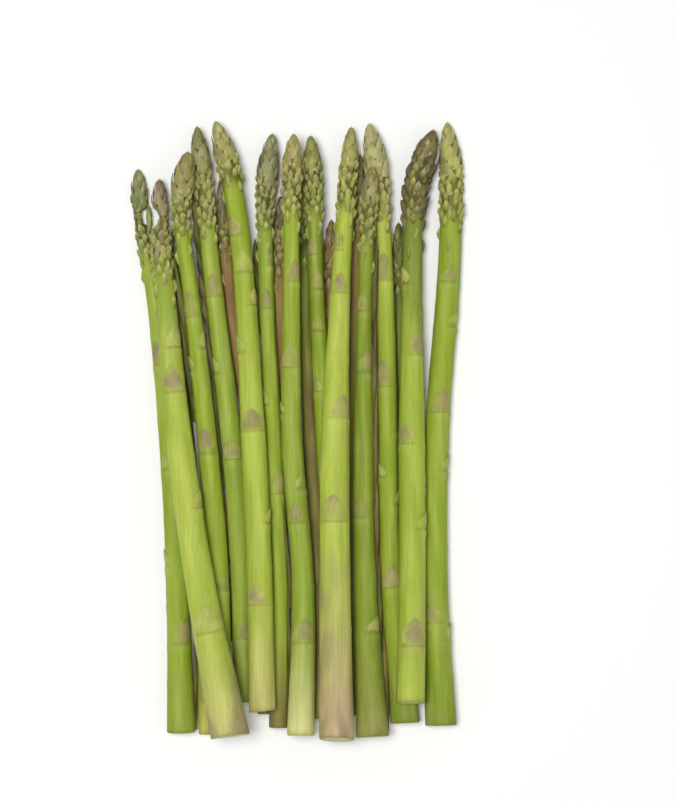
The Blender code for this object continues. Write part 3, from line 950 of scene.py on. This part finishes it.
def add_dark_gap_shoots(skin, axis, draw):
    """Slim dark side shoots in a row along the stem, low down beside it: painted shade in the gaps
    between stems.
    """
    for first, last, turn, girth, long in axis.look.shoots:
        foot = first
        while foot <= last:
            off = axis.outline(foot - long / 2)
            # painted shade: dark moss to red brown, darker still at the foot
            brown = PAINTED_SHOOT_SHADE * mix(COLOURS["moss"], COLOURS["red_brown"], draw.uniform(0.1, 0.9))
            add_bud(
                skin, axis,
                Bud(foot, math.radians(turn + draw.uniform(-3.0, 3.0)), long * draw.uniform(0.95, 1.1),
                    girth * draw.uniform(0.9, 1.05), (off - 0.4 * girth, off + 0.4 * girth), 0.2,
                    mix(brown, COLOURS["painted_pit_shade"], 0.5), brown),
            )
            foot += SHOOT_STEP * long


def add_strand(skin, axis):
    """A thin side shoot that bows away from a spear's slim stretch and joins it again above."""
    start, end, shift, lost = axis.look.slim
    if lost < STRAND_SLIMNESS:
        return
    point = COLOURS[axis.look.head]
    green = mix(COLOURS[axis.look.neck], point, 0.6)
    away = 0.0 if shift < 0.0 else math.pi
    strand = Bud(end + STRAND_OVERLAP, away, end - start + 2.0 * STRAND_OVERLAP, STRAND_GIRTH,
                 STRAND_STAND, STRAND_BOW, green, point)
    add_bud(skin, axis, strand)


def make_spear(name, number, materials):
    spear, look = SPEARS[name], LOOKS[name]
    draw = random.Random(100 + number)
    axis = Axis(spear, look, name)
    skin = Skin()
    leaves = stem_leaves(spear, look, draw)
    Stem(axis, leaves, draw.uniform(0.0, 100.0)).add_to(skin)
    for leaf in leaves:
        add_leaf(skin, axis, leaf, axis.core)
    bracts = add_closed_tip(skin, axis, draw)
    add_side_buds(skin, axis, bracts, draw)
    add_loose_bracts(skin, axis)
    add_dark_gap_shoots(skin, axis, draw)
    add_strand(skin, axis)
    piece = skin.object(name + "_fine", materials)
    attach(piece, BODY)
    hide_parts(name)


class Nodes:
    """Shorthand for making a material's node tree."""

    def __init__(self, name):
        self.material = bpy.data.materials.new(name)
        self.material.use_nodes = True
        self.tree = self.material.node_tree
        self.shader = self.tree.nodes["Principled BSDF"]

    def add(self, kind, **settings):
        node = self.tree.nodes.new(kind)
        for key, value in settings.items():
            setattr(node, key, value)
        return node

    def link(self, source, target):
        self.tree.links.new(source, target)

    def set(self, values):
        """Constants on the shader's own sockets."""
        for key, value in values.items():
            self.shader.inputs[key].default_value = value

    def texture(self, kind, scale, along, detail):
        """A texture in the object's metres, with a further scale in y, along the spears."""
        place = self.add("ShaderNodeTexCoord")
        mapping = self.add("ShaderNodeMapping")
        mapping.inputs["Scale"].default_value = (1.0, along, 1.0)
        self.link(place.outputs["Object"], mapping.inputs["Vector"])
        texture = self.add(kind)
        texture.inputs["Scale"].default_value = scale
        texture.inputs["Detail"].default_value = detail
        self.link(mapping.outputs["Vector"], texture.inputs["Vector"])
        return texture

    def noise(self, scale, along, detail):
        return self.texture("ShaderNodeTexNoise", scale, along, detail).outputs["Fac"]

    def ramp(self, source, span, values):
        """The source over a span, turned into values from the first to the second."""
        node = self.add("ShaderNodeMapRange")
        for key, value in zip(("From Min", "From Max", "To Min", "To Max"), (*span, *values)):
            node.inputs[key].default_value = value
        self.link(source, node.inputs["Value"])
        return node.outputs["Result"]

    def blend(self, mode, first, second, factor):
        """A colour mix. second and factor may be fixed values or sockets."""
        node = self.add("ShaderNodeMix", data_type="RGBA", blend_type=mode)
        self.link(first, node.inputs["A"])
        for value, socket in ((second, node.inputs["B"]), (factor, node.inputs["Factor"])):
            if isinstance(value, bpy.types.NodeSocket):
                self.link(value, socket)
            else:
                socket.default_value = value
        return node.outputs["Result"]

    def bump(self, heights, distance, strength):
        """Bump from several height sockets, one after the other."""
        before = None
        for height in heights:
            node = self.add("ShaderNodeBump")
            node.inputs["Distance"].default_value = distance
            node.inputs["Strength"].default_value = strength
            self.link(height, node.inputs["Height"])
            if before:
                self.link(before, node.inputs["Normal"])
            before = node.outputs["Normal"]
        self.link(before, self.shader.inputs["Normal"])


def skin_material(name, fibre, streak, rough, bump):
    """Plant skin: the painted colour, streaked along the spear, with pale specks and a waxy sheen."""
    made = Nodes(name)
    skin = made.add("ShaderNodeAttribute", attribute_name="skin")
    fibres = made.noise(fibre, along=0.05, detail=4.0)
    blotches = made.noise(160.0, along=0.35, detail=2.0)
    specks = made.noise(2600.0, along=0.6, detail=2.0)
    shade = made.ramp(fibres, (0.3, 0.7), (1.0 - streak, 1.0 + streak))
    colour = made.blend("MULTIPLY", skin.outputs["Color"], shade, 1.0)
    warm = made.ramp(blotches, (0.35, 0.7), (0.0, 0.22))
    colour = made.blend("MIX", colour, (*COLOURS["yellow_green"], 1.0), warm)
    pale = made.ramp(specks, (0.6, 0.75), (0.0, 0.18))
    colour = made.blend("MIX", colour, (*COLOURS["papery"], 1.0), pale)
    roughness = made.ramp(fibres, (0.3, 0.7), (rough - 0.06, rough + 0.08))
    made.link(colour, made.shader.inputs["Base Color"])
    made.link(roughness, made.shader.inputs["Roughness"])
    made.bump((fibres, specks), 0.12 * MM, bump)
    made.set({
        "Specular IOR Level": 0.28,
        "Subsurface Weight": 0.12,
        "Subsurface Radius": (0.6, 1.0, 0.25),
        "Subsurface Scale": 1.2 * MM,
    })
    return made.material


def cut_material():
    """The trimmed end: pale flesh with darker bundles of fibre across it."""
    made = Nodes("asparagus_cut")
    skin = made.add("ShaderNodeAttribute", attribute_name="skin")
    bundles = made.texture("ShaderNodeTexVoronoi", 1100.0, along=0.3, detail=0.0).outputs["Distance"]
    grain = made.noise(1800.0, along=1.0, detail=4.0)
    dots = made.ramp(bundles, (0.16, 0.34), (0.6, 0.0))
    colour = made.blend("MIX", skin.outputs["Color"], (*COLOURS["olive"], 1.0), dots)
    shade = made.ramp(grain, (0.3, 0.7), (0.82, 1.08))
    colour = made.blend("MULTIPLY", colour, shade, 1.0)
    made.link(colour, made.shader.inputs["Base Color"])
    made.bump((bundles, grain), 0.2 * MM, 0.5)
    made.set({"Roughness": 0.62})
    return made.material


def make_floor():
    """A wide plain pale surface under the bundle."""
    made = Nodes("pale_surface")
    made.set({"Base Color": FLOOR_COLOUR, "Roughness": FLOOR_ROUGHNESS})
    mesh = bpy.data.meshes.new("surface")
    corners = [(x * FLOOR_REACH, y * FLOOR_REACH, 0.0) for x, y in ((-1, -1), (1, -1), (1, 1), (-1, 1))]
    mesh.from_pydata(corners, [], [(0, 1, 2, 3)])
    mesh.materials.append(made.material)
    floor = placed("surface", mesh)


def make_light(name, place, size, power):
    """A soft square light that faces the middle of the bundle."""
    data = bpy.data.lights.new(name, "AREA")
    data.size = size
    data.energy = power
    data.color = WHITE
    light = placed(name, data)
    light.location = place
    light.rotation_euler = (-Vector(place)).to_track_quat("-Z", "Y").to_euler()


def make_lights():
    make_light("key", (-0.16, 0.06, 1.22), size=0.4, power=11.7)
    make_light("fill", (0.6, -0.3, 0.8), size=0.8, power=0.8)
    world = bpy.data.worlds.new("studio")
    world.use_nodes = True
    world.node_tree.nodes["Background"].inputs["Color"].default_value = (*WHITE, 1.0)
    world.node_tree.nodes["Background"].inputs["Strength"].default_value = WORLD_STRENGTH
    bpy.context.scene.world = world


def make_camera():
    data = bpy.data.cameras.new("camera")
    data.lens = LENS
    data.sensor_width = SENSOR
    data.clip_end = CLIP_END
    camera = placed("camera", data)
    away = VIEW_LEVEL + VIEW_HEIGHT * LENS / SENSOR
    camera.location = Vector((*VIEW_MIDDLE, away)) * MM
    bpy.context.scene.camera = camera


def main():
    materials = (
        skin_material("asparagus_stem", fibre=1300.0, streak=0.12, rough=0.6, bump=0.35),
        skin_material("asparagus_leaf", fibre=2200.0, streak=0.16, rough=0.62, bump=0.5),
        cut_material(),
    )
    for number, name in enumerate(SPEARS):
        make_spear(name, number, materials)
    make_floor()
    make_lights()
    make_camera()
    bpy.context.scene.view_settings.view_transform = "Standard"


main()
